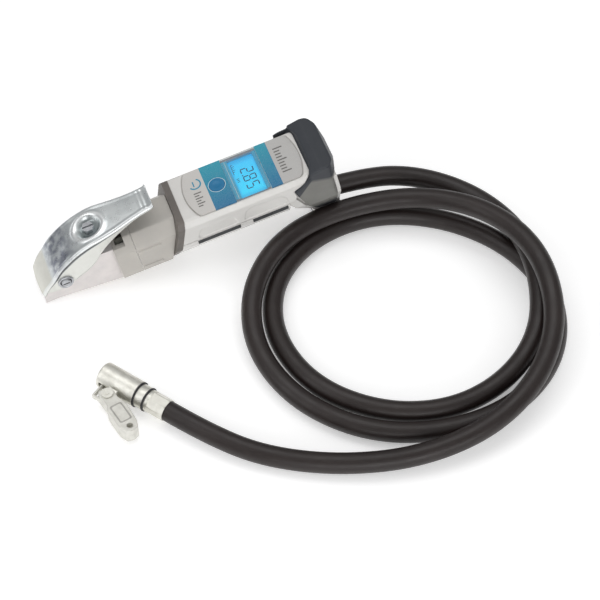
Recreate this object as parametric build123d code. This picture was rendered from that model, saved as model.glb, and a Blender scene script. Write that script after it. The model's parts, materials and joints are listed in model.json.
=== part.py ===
"""Hand-held tyre inflator with a digital gauge, its hose and a clip-on chuck, lying as stored.

The handle is drawn in its own frame: X from the nose to the rear, Y across, Z up from the nose's
lower edge. REST then tips it nose-down onto the floor, where it stands on its nose and its leg.
The chuck is drawn along X from its open end, and CHUCK lays it on the floor at the hose's end.
"""

from build123d import *
import os
from math import atan2, cos, degrees, pi, radians, sin, tan

os.makedirs("parts", exist_ok=True)

# ---- driving dimensions (mm) -------------------------------------------------------------
PITCH = 10.5              # nose-down tilt of the resting handle, degrees
NOSE_X = -102.0           # row X of the nose's lower edge
BLOCK_HALF = 13.3         # valve block half width
NECK_HALF = 18.0          # neck half width
BODY_HALF = 22.3          # housing half width
BODY_TOP = 33.0           # label face height above the nose line
SHELL_WALL = 2.0
LEVER_HALF = 15.1         # outer half width of the pressed lever over the block
LEVER_SHEET = 1.5
PIVOT = (17.5, 15.0)      # lever pivot, X and Z
PIVOT_R = 2.5
RUN_GAP = 0.05            # radial clearance of a running fit
VALVE_X = 44.0            # valve axis
DISH_Z = 41.4             # rim of the lever's dish, over the valve
STEM_R = 2.0
STEM_TOP = 32.6
INLET_X = 26.0            # air inlet axis on the underside
INLET_R = 5.72            # minor radius of a 1/4 inch parallel pipe thread
INLET_LENGTH = 9.4
FILTER_R = 6.4
INLET_MOUTH = -1.6         # height of the inlet bush's open end
AIR_PASSAGE_Z = 15.5      # height of the passage from the valve to the neck
TUBE_R = 2.6              # inner air tube
KEY_X = 132.0
KEY_R = 5.3
WINDOW = (139.6, 164.0)   # window's X range
HOSE_R = 6.75
HOSE_EXIT = (100.0, 0.0, 24.5)
FERRULE_R = 7.9
STEM_HALF = 9.8           # half width of the leg below its taper
CHUCK_END = (-54.0, -128.3, 8.75)   # where the hose meets the chuck
CHUCK_LENGTH = 50.9
BARREL_R = 8.75
VALVE_BORE_R = 4.1        # fits over a tyre valve
VALVE_BORE_LENGTH = 11.0
SEAL_SEAT_R = 4.8
CLIP_PIVOT = (14.2, -13.9)
CLIP_PIN_R = 1.5
CLIP_SPLAY = -23.0        # clip lever's rest direction in the chuck's frame, degrees

# The hose's route on the floor: handle, two and a half turns, then the chuck. The heights give the
# order in which the strands lie on each other.
ROUTE = [
    HOSE_EXIT,
    (129, 0, 24.5),
    (158, -6.5, 21),
    (183, -23.5, 18),
    (200, -49, 18),
    (207, -82, 21.5),
    (202.5, -120, 21.5),
    (187, -155, 16),
    (156, -178, 9.5),
    (115, -186, 6.75),
    (72, -173, 6.75),
    (38, -139, 6.75),
    (27.6, -92, 6.75),
    (43, -50, 6.75),
    (80, -23, 6.75),
    (127, -18, 6.75),
    (172, -39, 6.75),
    (204, -78, 6.75),
    (213, -125, 6.75),
    (195, -168, 6.75),
    (157, -196, 6.75),
    (108, -201, 6.75),
    (60, -185, 6.75),
    (25, -147, 6.75),
    (12, -101, 10),
    (24, -58, 16),
    (57, -27, 20),
    (105, -17, 21),
    (155, -29, 27),
    (190, -62, 35),
    (206, -106, 38),
    (200, -153, 29),
    (173, -190, 22),
    (131, -212, 16),
    (83, -215, 11),
    (36, -203, 8),
    (-6, -181, 6.75),
    (-34.5, -154.9, 8.75),
    CHUCK_END,
]

CHUCK_TURN = degrees(atan2(ROUTE[-2][1] - CHUCK_END[1], ROUTE[-2][0] - CHUCK_END[0]))
REST = Pos(NOSE_X, 0, 0) * Rot(0, -PITCH, 0)
_hose_to_open = (-cos(radians(CHUCK_TURN)), -sin(radians(CHUCK_TURN)))
CHUCK = Pos(
    CHUCK_END[0] + CHUCK_LENGTH * _hose_to_open[0],
    CHUCK_END[1] + CHUCK_LENGTH * _hose_to_open[1],
    CHUCK_END[2],
) * Rot(0, 0, CHUCK_TURN)

written = {}


def save(name, *solids, place=REST):
    """Place the solids of one sub-part and write them as one STEP."""
    placed = [place * solid for solid in solids]
    shape = placed[0] if len(placed) == 1 else Compound(children=placed)
    export_step(shape, f"parts/{name}.step")
    written[name] = shape


# ---- shape helpers ------------------------------------------------------------------------
def rounded(points, radius):
    face = Polygon(*points)
    return fillet(face.vertices(), radius) if radius else face


def across(points, half, radius=0, y=0.0):
    """A side outline in X and Z, extruded across Y."""
    plane = Plane(origin=(0, y - half, 0), x_dir=(1, 0, 0), z_dir=(0, -1, 0))
    return extrude(plane * rounded(points, radius), amount=2 * half, dir=(0, 1, 0))


def upright(points, low, high, radius=0):
    """A plan outline in X and Y, extruded up."""
    return Pos(0, 0, low) * extrude(rounded(points, radius), amount=high - low, dir=(0, 0, 1))


def along(face, start, end):
    """A section in Y and Z, extruded along X."""
    plane = Plane(origin=(start, 0, 0), x_dir=(0, 1, 0), z_dir=(1, 0, 0))
    return extrude(plane * face, amount=end - start, dir=(1, 0, 0))


def box(x0, x1, y0, y1, z0, z1):
    return Pos((x0 + x1) / 2, (y0 + y1) / 2, (z0 + z1) / 2) * Box(x1 - x0, y1 - y0, z1 - z0)


def post(x, y, low, high, radius):
    return Pos(x, y, (low + high) / 2) * Cylinder(radius, high - low)


def crossbar(x, z, half, radius, y=0.0):
    return Pos(x, y, z) * Rot(90, 0, 0) * Cylinder(radius, 2 * half)


def rod(x0, x1, y, z, radius):
    return Pos((x0 + x1) / 2, y, z) * Rot(0, 90, 0) * Cylinder(radius, x1 - x0)


def section(half, low, high, inset_top, shoulder, inset_low=6.0, skirt=7.0, round_r=2.0):
    """Closed cross-section of the neck or the housing."""
    points = [
        (-half + inset_low, low),
        (half - inset_low, low),
        (half, low + skirt),
        (half, high - shoulder),
        (half - inset_top, high),
        (-half + inset_top, high),
        (-half, high - shoulder),
        (-half, low + skirt),
    ]
    return rounded(points, round_r)


# ---- valve block and what it holds ----------------------------------------------------------
def make_valve_block():
    bush_end = INLET_MOUTH + INLET_LENGTH
    side = [
        (0, 0), (9.3, 0.4), (53.5, -4.6), (53.5, 26.5), (33, 27), (19, 22.5),
        (10, 15.5), (3, 8.5), (0.3, 5),
    ]
    block = across(side, BLOCK_HALF)
    block += post(VALVE_X, 0, 20, 28, 6.9)
    block -= post(INLET_X, 0, -6, bush_end + 0.1, INLET_R + 2.2)
    block -= post(INLET_X, 0, bush_end, bush_end + 3.6, FILTER_R + 0.02)
    block -= rod(INLET_X, VALVE_X, 0, bush_end + 2.4, 1.8)
    block -= post(VALVE_X, 0, -8, 1.5, 6.0)
    block -= post(VALVE_X, 0, 1, 12.2, 5.0)
    block -= post(VALVE_X, 0, 12, 19, 3.4)
    block -= post(VALVE_X, 0, 19, 29, 4.5)
    block -= rod(VALVE_X, 54, 0, AIR_PASSAGE_Z, TUBE_R)
    block -= crossbar(PIVOT[0], PIVOT[1], 20, PIVOT_R)
    save("valve_block", block)

    bush = post(INLET_X, 0, INLET_MOUTH, bush_end, INLET_R + 2.2)
    bush -= post(INLET_X, 0, -3, 12, INLET_R)
    save("air_inlet_bush", bush)

    disc = post(INLET_X, 0, bush_end + 0.1, bush_end + 1.6, FILTER_R)
    save("inlet_filter", disc)

    cap = post(VALVE_X, 0, -5.6, 1.4, 5.95)
    cap -= Pos(VALVE_X, 0, -5.6) * extrude(RegularPolygon(2.5, 6), amount=3, both=True)
    save("valve_cap", cap)

    gland = post(VALVE_X, 0, 19, 28, 4.45) + post(VALVE_X, 0, 28, 28.7, 6.0)
    gland -= post(VALVE_X, 0, 18, 30, STEM_R + RUN_GAP)
    save("stem_gland", gland)

    ring = Pos(VALVE_X, 0, 18.1) * Torus(STEM_R + RUN_GAP + 0.7, 0.65)
    save("stem_o_ring", ring)

    spring_turns = Helix(pitch=1.5, height=5.4, radius=3.4, center=(VALVE_X, 0, 1.9))
    start = Plane(origin=spring_turns @ 0, z_dir=spring_turns % 0)
    save("valve_spring", sweep(start * Circle(0.45), path=spring_turns, is_frenet=True))


def make_valve_stem():
    stem = post(VALVE_X, 0, 9.2, STEM_TOP, STEM_R) + post(VALVE_X, 0, 7.9, 10.2, 4.3)
    save("valve_stem", stem)
    seal = post(VALVE_X, 0, 10.25, 12.15, 4.3) - post(VALVE_X, 0, 10, 13, STEM_R)
    save("stem_seal", seal)


# ---- lever ----------------------------------------------------------------------------------
LEVER_TOP = [
    (-0.8, 9.4), (3.4, 15.6), (9.9, 22.4), (17.3, 29.3), (26, 35.4), (34, 39.3), (42, 41.9), (50, 43.3),
    (60, 44.3), (71, 46.0), (88, 49.0),
]
LEVER_EDGE = [(85.5, 45.2), (67, 39.6), (50, 32.0), (38, 19.2), (27, 13.7), (16.0, 9.4), (6, 9.6)]
LEVER_PLAN = [(-10, LEVER_HALF), (46, LEVER_HALF), (60, 14.2), (71, 12.4), (92, 9.6)]


def lever_profile(inset):
    """Side outline of the lever, pulled in from its top by the inset."""
    points = LEVER_TOP
    if inset:
        points = [(x + inset * 0.62, z - inset * (1.35 if x < 20 else 1.05)) for x, z in LEVER_TOP]
    top = Spline(*points)
    low = Polyline((top @ 1), (92 + inset, 20), (-6, 0), (top @ 0))
    return make_face(Curve() + [top, low])


def lever_body(inset):
    """The lever's outline as a solid, narrowing to the rear."""
    plane = Plane(origin=(0, 0, 0), x_dir=(1, 0, 0), z_dir=(0, -1, 0))
    body = extrude(plane * lever_profile(inset), amount=LEVER_HALF, both=True)
    right = [(x, inset - half) for x, half in LEVER_PLAN]
    left = [(x, -y) for x, y in reversed(right)]
    return body & upright(right + left, -20, 80)


def make_lever():
    shell = lever_body(0) - lever_body(LEVER_SHEET)
    keep_points = LEVER_TOP[:1] + [(-6, 30), (20, 60), (95, 70), (95, 49), (88.5, 47.0)] + LEVER_EDGE
    shell = shell & across(keep_points, LEVER_HALF + 1)
    seat_plane = Pos(VALVE_X, 0, DISH_Z) * Rot(0, -11, 0)
    shell -= seat_plane * Pos(0, 0, -1) * Cylinder(9.5, 8)
    dish_outer = Pos(0, 0, -1.6) * Cone(6.2, 9.9, 4.2)
    dish_inner = Pos(0, 0, -0.9) * Cone(5.0, 9.0, 4.4)
    floor = Pos(0, 0, -3.2) * Cylinder(6.3, 1.4)
    dish = (dish_outer - dish_inner) + floor
    shell = shell + seat_plane * dish
    shell -= post(VALVE_X, 0, DISH_Z - 10, DISH_Z + 4, 2.55)
    shell -= post(VALVE_X, 0, DISH_Z - 2.55, DISH_Z + 1, 4.3)
    shell -= post(VALVE_X, 0, DISH_Z - 9, DISH_Z - 4.95, 4.7)
    for side in (-1, 1):
        shell -= crossbar(PIVOT[0], PIVOT[1], 2, PIVOT_R + RUN_GAP, y=side * LEVER_HALF)
    save("lever", shell)

    head = DISH_Z - 0.9
    screw = post(VALVE_X, 0, STEM_TOP + 0.5, head - 1.3, 2.5)
    screw += Pos(VALVE_X, 0, head) * extrude(RegularPolygon(4.2, 6), amount=1.6, both=True)
    screw -= box(VALVE_X - 5, VALVE_X + 5, -0.7, 0.7, head + 0.3, head + 2)
    save("adjusting_screw", screw)
    nut = Pos(VALVE_X, 0, DISH_Z - 6.2) * extrude(RegularPolygon(4.6, 6), amount=1.2, both=True)
    nut -= post(VALVE_X, 0, DISH_Z - 9, DISH_Z - 3, 2.5)
    save("lock_nut", nut)


def make_pivot_pin():
    x, z = PIVOT
    pin = crossbar(x, z, LEVER_HALF + 0.4, PIVOT_R)
    for side in (-1, 1):
        head = crossbar(x, z, 0.9, 4.2, y=side * (LEVER_HALF + 1.2))
        slot = box(x - 4, x + 4, -0.5, 0.5, z - 0.6, z + 0.6)
        head -= Pos(0, side * (LEVER_HALF + 2.0), 0) * slot
        pin += head
    save("lever_pivot_pin", pin)


# ---- neck and housing -----------------------------------------------------------------------
NECK_BACK = 0.318         # the neck's rear end leans back by this much per mm of height
NECK_FOOT = 92.5
RIM_DEPTH = 4.4


def slanted(start, shift, end=None, low=-12, high=60):
    """Region behind (or between) planes that lean back with height."""
    def lean(z):
        return NECK_FOOT + shift + NECK_BACK * z

    points = [(start, low), (lean(low), low), (lean(high), high), (start, high)]
    if end is not None:
        points = [(lean(low), low), (end, low), (end, high), (lean(high), high)]
    return across(points, 40)


def neck_face(inset=0.0):
    return section(
        NECK_HALF - inset, -5.0 + inset, 31.0 - inset, 8.0 - inset / 2, 8.0 - inset / 2,
        inset_low=5.0, skirt=5.0,
    )


def body_face(inset=0.0):
    return section(
        BODY_HALF - inset, -2.0 + inset, BODY_TOP - inset, 3.4 - inset / 4, 4.4 - inset / 4,
        inset_low=8.0 - inset / 3, skirt=12.4,
    )


def make_neck():
    collar = along(neck_face(), 53.6, 67.4)
    collar -= box(53, 62, -20, 20, 26.6, 40)
    collar -= along(neck_face(2.5), 56, 67.5)
    collar -= rod(53, 58, 0, AIR_PASSAGE_Z, TUBE_R + 0.02)
    save("front_collar", collar)

    sleeve = along(neck_face(), 67.6, 110) & slanted(60, -RIM_DEPTH)
    sleeve -= along(neck_face(SHELL_WALL), 66, 112)
    for side in (-1, 1):
        sleeve += box(68.5, 84.0, *sorted((side * 16.6, side * 18.7)), 18.5, 20.5)
        sleeve += box(68.5, 82.0, *sorted((side * 16.6, side * 18.6)), 1.2, 4.4)
    save("neck_sleeve", sleeve)

    ring = along(body_face(), 80, 112) & slanted(0, 0.0, end=None, low=-12)
    ring &= slanted(0, -RIM_DEPTH, end=130)
    ring -= along(neck_face(SHELL_WALL), 70, 120)
    save("rim_ring", ring)


def body_plan():
    """Plan outline of the housing's rounded rear end."""
    edge = [
        Line((80, -40), (186, -40)),
        Line((186, -40), (189.5, -20)),
        ThreePointArc((189.5, -20), (194.2, 0), (189.5, 20)),
        Line((189.5, 20), (186, 40)),
        Line((186, 40), (80, 40)),
        Line((80, 40), (80, -40)),
    ]
    return Pos(0, 0, -60) * extrude(make_face(Curve() + edge), amount=120, dir=(0, 0, 1))


def label_plan(grow=0.0, low=0.0, high=1.0):
    half = 18.8 + grow
    x0, x1 = 114.5 - grow, 185.0 + grow
    edge = [
        Line((x0, -half), (x1, -half)),
        ThreePointArc((x1, -half), (x1 + 4.0, 0), (x1, half)),
        Line((x1, half), (x0, half)),
        ThreePointArc((x0, half), (x0 - 5.0, 0), (x0, -half)),
    ]
    face = make_face(Curve() + edge)
    face = fillet(face.vertices(), 3.5)
    return Pos(0, 0, low) * extrude(face, amount=high - low, dir=(0, 0, 1))


SPLIT_Z = 14.0
SCREW_PLACES = [(109.5, -9.5), (109.5, 9.5), (166.0, -9.5), (166.0, 9.5)]
GRIP_SPANS = [(107.0, 137.0), (145.5, 170.5)]       # X ranges of the grip strips
GRIP_Z = (10.6, 13.6)
FINGER_DEPTH = 0.9
FINGER_RECESSES = [
    [(107.5, 14.9), (111.5, 23.4), (130.5, 24.4), (134.8, 21.2), (136.5, 14.9)],
    [(140.0, 14.9), (143.0, 23.4), (147.5, 25.4), (168.0, 24.4), (171.0, 20.5), (171.5, 14.9)],
]
REAR_SIDE = [
    (178.2, 18.6), (176.9, 24.0), (181.7, 26.0), (188.3, 30.6), (191.5, 33.4), (194, 40), (60, 40),
    (60, SPLIT_Z), (176.2, SPLIT_Z),
]


def make_shells():
    solid = along(body_face(), 88, 196) & slanted(0, 0, end=200) & body_plan()
    upper = solid & across(REAR_SIDE, 40)
    upper -= along(body_face(SHELL_WALL), 88, 170) & slanted(0, 2.0, end=172)
    upper -= label_plan(0.7, BODY_TOP - 1.3, BODY_TOP + 2)
    upper -= box(142.2, 162.8, -17.8, 17.8, 25, 40)
    upper -= post(KEY_X, 0, 25, 40, KEY_R + 0.3)
    upper -= box(168, 193, -3.2, 3.2, 5, 22.5)
    upper -= box(92, 106, -3.2, 3.2, 15.4, 22)
    for outline in FINGER_RECESSES:
        for side in (-1, 1):
            reach = 10.0
            recess = across(outline, reach, radius=2.0, y=side * (BODY_HALF - FINGER_DEPTH + reach))
            upper -= recess
    for x, y in SCREW_PLACES:
        upper += post(x, y, SPLIT_Z, BODY_TOP - 1.6, 2.8)
        upper -= post(x, y, SPLIT_Z - 1, 22.2, 1.25)
    save("upper_shell", upper)

    lower = solid & box(80, 171.8, -40, 40, -20, SPLIT_Z - 0.1)
    lower -= along(body_face(SHELL_WALL), 88, 169.8) & slanted(0, 2.0, end=169.8)
    lower -= box(112.9, 162.1, -12.6, 12.6, -20, 3)
    for start, end in GRIP_SPANS:
        for side in (-1, 1):
            lower -= box(start, end, *sorted((side * 20.9, side * 30)), GRIP_Z[0] - 8, GRIP_Z[1])
    for x, y in SCREW_PLACES:
        lower += post(x, y, -1.4, SPLIT_Z - 0.1, 2.8)
        lower -= post(x, y, -3, 0.4, 2.45)
        lower -= post(x, y, 0, 20, 1.25)
    save("lower_shell", lower)

    strips = []
    for start, end in GRIP_SPANS:
        for side in (-1, 1):
            reach = sorted((side * 21.0, side * 30))
            strip = along(body_face(), start + 0.2, end - 0.2)
            strips.append(strip & box(100, 180, *reach, GRIP_Z[0] - 8, GRIP_Z[1] - 0.1))
    save("grip_strips", *strips)

    cover = along(body_face(), 113.1, 161.9) & box(100, 180, -12.4, 12.4, -20, -0.1)
    for index in range(9):
        groove = box(120 + 4 * index, 121.4 + 4 * index, -9, 9, -3, -1.4)
        cover -= groove
    save("battery_cover", cover)

    screws = []
    for x, y in SCREW_PLACES:
        screw = post(x, y, -1.2, 0.35, 2.4) + post(x, y, 0.3, 22, 1.2)
        screw -= post(x, y, -1.4, -0.6, 1.1)
        screws.append(screw)
    save("housing_screws", *screws)


def make_display():
    label = label_plan(0.0, BODY_TOP - 1.2, BODY_TOP)
    label -= box(WINDOW[0], WINDOW[1], -30, 30, 20, 50)
    label -= post(KEY_X, 0, 20, 50, KEY_R + 0.25)
    save("label_panel", *label.solids())

    lens = box(WINDOW[0] + 0.1, WINDOW[1] - 0.1, -18.7, 18.7, BODY_TOP - 1.2, BODY_TOP - 0.1)
    save("window_lens", lens)

    bezel = box(142.4, 162.6, -17.5, 17.5, BODY_TOP - 3.6, BODY_TOP - 1.3)
    bezel -= box(143.6, 161.6, -16.7, 16.7, 20, 40)
    save("display_bezel", bezel)

    save("display_module", box(142.3, 162.7, -17.5, 17.5, 27.2, 29.3))
    save("backlight", box(142.3, 162.7, -17.5, 17.5, 25.7, 27.1))
    save("circuit_board", box(113.6, 162.9, -15, 15, 24, 25.6))

    key = post(KEY_X, 0, 28.9, BODY_TOP + 0.4, KEY_R)
    key -= Pos(KEY_X, 0, BODY_TOP + 16.0) * Sphere(15.9)
    save("units_key", key)
    save("key_switch", box(KEY_X - 3, KEY_X + 3, -3, 3, 25.65, 26.9) + post(KEY_X, 0, 26.8, 28.3, 1.6))

    sensor = box(116, 124, 7.2, 14.5, 17.0, 23.9)
    save("pressure_sensor", sensor)


def make_power():
    cells = []
    for side in (-1, 1):
        cell = rod(114.5, 157.5, side * 5.6, 7.4, 5.1) + rod(157.4, 158.6, side * 5.6, 7.4, 1.6)
        cells.append(cell)
    save("battery_cells", *cells)
    tray = box(113.2, 160.4, -12.2, 12.2, 0.4, 6.0)
    tray -= box(114.4, 159.2, -11.0, 11.0, 1.9, 12)
    tray += box(159.3, 160.4, -11.5, 11.5, 5.5, 13.5) + box(113.2, 114.3, -11.5, 11.5, 5.5, 13.5)
    save("battery_tray", tray)


def make_air_tube():
    corners = [
        (53.6, 0, AIR_PASSAGE_Z), (66, 0, AIR_PASSAGE_Z), (80, 0, 18.6), (174, 0, 18.6),
        (188, 0, 8), (188, 0, -2.6),
    ]
    path = FilletPolyline(*corners, radius=[12, 12, 12, 8])
    start = Plane(origin=path @ 0, z_dir=path % 0)
    save("air_tube", sweep(start * Circle(TUBE_R), path=path))
    elbow = Pos(120, 4.9, 18.2) * Rot(90, 0, 0) * Cylinder(0.6, 4.4)
    save("sensor_tube", elbow)


# ---- rear: leg frame, rubber cap, hose union ------------------------------------------------
def floor_at(x):
    """Height of the floor at a handle X, in the handle's frame."""
    return -x * tan(radians(PITCH))


def leg_section(grow=0.0):
    """Cross-section of the rear end: full width above, tapering to the stem that holds the hose."""
    top = 19.6 + grow
    stem = STEM_HALF + grow
    right = [(stem, -60), (stem, -15.0), (top, 4.0), (top, 60)]
    left = [(-y, z) for y, z in reversed(right)]
    return Polygon(*left, *right)


def make_leg():
    core = across(
        [
            (172.0, 9.0), (183.0, -8.0), (189.5, -20), (188, floor_at(188) + 3), (200, floor_at(200) + 3),
            (206.4, -22), (205.4, 8), (205.0, 24), (196.5, 29.0), (195, 13.6), (172.0, 13.6),
        ],
        30,
    )
    core &= along(leg_section(-1.9), 150, 230)
    front_band = [
        (172.0, 13.6), (172.0, 9.0), (183.0, -8.0), (189.5, -20), (194.5, -20), (187.6, -8.0),
        (177.0, 13.6),
    ]
    rear_band = [(203.6, -20.0), (206.4, -22.0), (207.6, 8), (207.2, 21.5), (204.4, 21.5), (204.8, 8)]
    band = across(front_band, 30) + across(rear_band, 30)
    core += band & along(leg_section(0.4), 150, 230)
    core -= hose_axis_cylinder(FERRULE_R + 0.1, 88.8, 120)
    core -= post(188, 0, -17, 30, 5.2)
    core -= hose_axis_cylinder(4.3, 80, 95)
    core -= box(171, 190, -3.2, 3.2, 5, 30)
    save("leg_frame", core)

    pad_side = [
        (188.0, floor_at(188) + 2.9), (188.0, floor_at(188)), (200.0, floor_at(200)),
        (200.0, floor_at(200) + 2.9),
    ]
    pad = across(pad_side, STEM_HALF - 0.4)
    save("foot_pad", pad)


def hose_axis_cylinder(radius, start, end):
    """A cylinder along the row's X at the hose exit, written in the handle's frame."""
    body = Pos((start + end) / 2, 0, HOSE_EXIT[2]) * Rot(0, 90, 0) * Cylinder(radius, end - start)
    return REST.inverse() * body


CAP_HALF = 23.4           # the rubber stands proud of the housing
CAP_LIP = [(178.6, 31.4), (182, 32.6), (189.5, 33.2), (189.5, 25), (178.6, 25)]   # forward along one edge


def make_rear_cap():
    side = [
        (178.4, 18.6), (187.8, -7.6), (194.8, -19.8), (203.4, -19.8), (204.6, 8.0), (204.3, 21.7),
        (207.4, 22), (209.6, 27), (206.8, 35.6), (198, 37.2), (188, BODY_TOP + 2.2),
        (178, BODY_TOP + 0.3), (176, 30), (176.9, 24.0),
    ]
    plan = [
        Line((170, -CAP_HALF), (203, -CAP_HALF)),
        ThreePointArc((203, -CAP_HALF), (210.4, 0), (203, CAP_HALF)),
        Line((203, CAP_HALF), (170, CAP_HALF)),
        Line((170, CAP_HALF), (170, -CAP_HALF)),
    ]
    plan_face = make_face(Curve() + plan)
    plan_face = fillet(plan_face.vertices().sort_by(Axis.X)[-2:], 5.0)
    cap = across(side, 30) & (Pos(0, 0, -60) * extrude(plan_face, amount=120, dir=(0, 0, 1)))
    right = [(12.1, -60), (12.1, -15.0), (21.9, 4.0), (CAP_HALF, 15.0), (CAP_HALF, 60)]
    left = [(-y, z) for y, z in reversed(right)]
    cap &= along(Polygon(*left, *right), 150, 230)
    shell_side = [
        (178.35, 18.5), (177.05, 23.85), (181.75, 25.85), (188.4, 30.45), (191.6, 33.25), (194.4, 40),
        (60, 40), (60, 10), (175, 10),
    ]
    cap -= (Pos(0.15, 0, 0) * body_plan()) & across(shell_side, 40)
    leg_side = [
        (170, 18.8), (170, -30), (204.4, -30), (205.5, 8), (205.1, 24.1), (196.4, 29.6), (190.5, 29.6),
        (182.2, 24.4), (178.4, 22.6), (178.4, 18.8),
    ]
    cap -= across(leg_side, 40) & along(leg_section(-1.8), 150, 230)
    cap -= across([(170, 18.8), (170, -12), (180, -20), (194.6, -20), (187.7, -8.0), (178.1, 18.8)], 40)
    cap -= across([(203.5, -20.2), (215, -20.2), (215, 21.6), (204.3, 21.6), (204.7, 8)], 40)
    cap += box(178.6, 189.5, BODY_HALF + 0.1, CAP_HALF, 25.0, 33.2) & across(CAP_LIP, 30)
    main_solid = max(cap.solids(), key=lambda solid: solid.volume)
    save("rear_cap", main_solid)


def make_hose_union():
    union = post(188, 0, -15.5, -3.0, 4.9)
    stub = hose_axis_cylinder(4.0, 84, HOSE_EXIT[0] - 0.02)
    save("hose_union", union + stub)
    ferrule = hose_axis_cylinder(FERRULE_R, 92.0, 105.0) - hose_axis_cylinder(HOSE_R + 0.04, 93.5, 120)
    ferrule -= hose_axis_cylinder(4.05, 80, 95)
    save("hose_ferrule", ferrule)


# ---- hose -----------------------------------------------------------------------------------
def make_hose():
    points = [Vector(*p) for p in ROUTE]
    radii = []
    for before, here, after in zip(points, points[1:], points[2:]):
        first = here - before
        second = after - here
        half_turn = radians(first.get_angle(second) / 2)
        radii.append(0.45 * min(first.length, second.length) / tan(half_turn))
    print("hose radii:", [round(r) for r in radii])
    print("hose runs:", [round((b - a).length) for a, b in zip(points, points[1:])])
    path = FilletPolyline(*points, radius=radii)
    start = Plane(origin=path @ 0, z_dir=path % 0)
    tube = sweep(start * Circle(HOSE_R), path=path)
    expected = pi * HOSE_R ** 2 * path.length
    print(f"hose length {path.length:.1f} mm, volume {tube.volume:.0f} of {expected:.0f}")
    save("hose", tube, place=Pos(0, 0, 0))


# ---- chuck ----------------------------------------------------------------------------------
RING_1 = 28.2
COLLAR = 29.4
RING_2 = 35.0
SLEEVE = 36.4


def make_chuck():
    barrel = rod(0, RING_1, 0, 0, BARREL_R)
    barrel = chamfer(barrel.edges().group_by(Axis.X)[0], 0.9)
    x, y = CLIP_PIVOT
    ear = Pos(x, y, 0) * Cylinder(3.3, 7.4) + box(x - 3.3, x + 3.3, y, -4, -3.7, 3.7)
    barrel += ear
    barrel -= rod(-1, VALVE_BORE_LENGTH, 0, 0, VALVE_BORE_R)
    barrel -= rod(VALVE_BORE_LENGTH, 15, 0, 0, SEAL_SEAT_R)
    barrel -= rod(14, 24, 0, 0, 2.2)
    barrel -= rod(23, 29, 0, 0, 5.0)
    barrel -= box(2.5, 8.5, -12, 0, -2.3, 2.3)
    barrel -= Pos(x, y, 0) * Cylinder(CLIP_PIN_R, 20)
    barrel -= Pos(x, y, 2.8) * Cylinder(2.75, 2.0)
    save("chuck_barrel", barrel, place=CHUCK)

    seal = rod(12.4, 14.9, 0, 0, SEAL_SEAT_R - 0.02) - rod(10, 18, 0, 0, 1.6)
    save("chuck_seal", seal, place=CHUCK)
    pin = rod(11.4, 21, 0, 0, 1.1) + rod(20, 21.5, 0, 0, 2.15)
    save("depressor_pin", pin, place=CHUCK)

    collar = rod(23.2, COLLAR + 0.1, 0, 0, 4.9) + rod(COLLAR, RING_2, 0, 0, 7.9)
    collar += rod(RING_2 - 0.1, SLEEVE + 0.2, 0, 0, 5.2)
    collar -= rod(20, 40, 0, 0, 2.2)
    collar += rod(SLEEVE, SLEEVE + 3, 0, 0, 4.0)
    save("chuck_collar", collar, place=CHUCK)

    rings = []
    for start, end, outer, inner in ((RING_1, COLLAR, 8.7, 4.95), (RING_2, SLEEVE, 8.2, 5.25)):
        start += 0.05
        end -= 0.05
        rings.append(rod(start, end, 0, 0, outer) - rod(start - 1, end + 1, 0, 0, inner))
    save("chuck_rings", *rings, place=CHUCK)

    sleeve = rod(SLEEVE, CHUCK_LENGTH - 0.02, 0, 0, 7.4) - rod(SLEEVE - 1, SLEEVE + 3.2, 0, 0, 5.25)
    for index in range(8):
        flat = Rot(45 * index, 0, 0) * box(SLEEVE + 2.5, CHUCK_LENGTH + 1, -4, 4, 6.95, 9)
        sleeve -= flat
    save("chuck_ferrule", sleeve, place=CHUCK)


def make_clip():
    x, y = CLIP_PIVOT
    arm = Pos(x, y, 0) * Rot(0, 0, CLIP_SPLAY)
    outline = [
        (-4.6, -4.6), (7.5, -4.6), (11, -6.2), (26, -6.4), (31.5, -4.4), (33, 0), (31.5, 4.2), (27, 5.8),
        (13, 6.6), (8.5, 5.6), (6, 4.6), (-2, 4.6), (-4.6, 2),
    ]
    plate = upright(outline, -5.6, 5.6, radius=1.2)
    plate -= upright([(-8, -3.5), (8, -3.5), (11.5, -4.9), (22, -5.1), (22, 8), (-8, 8)], -4.1, 4.1)
    plate -= post(28.3, 0, -8, 8, 1.9)
    plate -= post(0, 0, -10, 10, CLIP_PIN_R + RUN_GAP)
    lever = arm * plate
    jaw = box(4.6, 11.0, y - 4.2, y - 3.0, -2.0, 2.0)
    jaw += box(4.6, 6.0, y - 4.2, -6.2, -2.0, 2.0)
    lever += jaw
    save("clip_lever", lever, place=CHUCK)

    pin = Pos(x, y, 0.4) * Cylinder(CLIP_PIN_R, 14.0)
    pin += Pos(x, y, 6.3) * Cylinder(3.7, 1.2)
    save("clip_pin", pin, place=CHUCK)

    coil = []
    for turn in range(2):
        coil.append(Pos(x, y, 2.45 + 0.8 * turn) * Torus(2.15, 0.34))
    save("clip_spring", *coil, place=CHUCK)


make_valve_block()
make_valve_stem()
make_lever()
make_pivot_pin()
make_neck()
make_shells()
make_display()
make_power()
make_air_tube()
make_leg()
make_rear_cap()
make_hose_union()
make_hose()
make_chuck()
make_clip()

CORD_NODES = ("hose", "chuck_", "clip_", "depressor_pin")
handle = Compound(children=[s for n, s in written.items() if not n.startswith(CORD_NODES)])
limits = handle.bounding_box()
print("nodes:", len(written))
print("handle box:", [round(v, 2) for v in (*limits.min, *limits.max)])
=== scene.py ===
import json
import math

import bpy
from mathutils import Matrix, Vector


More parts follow.
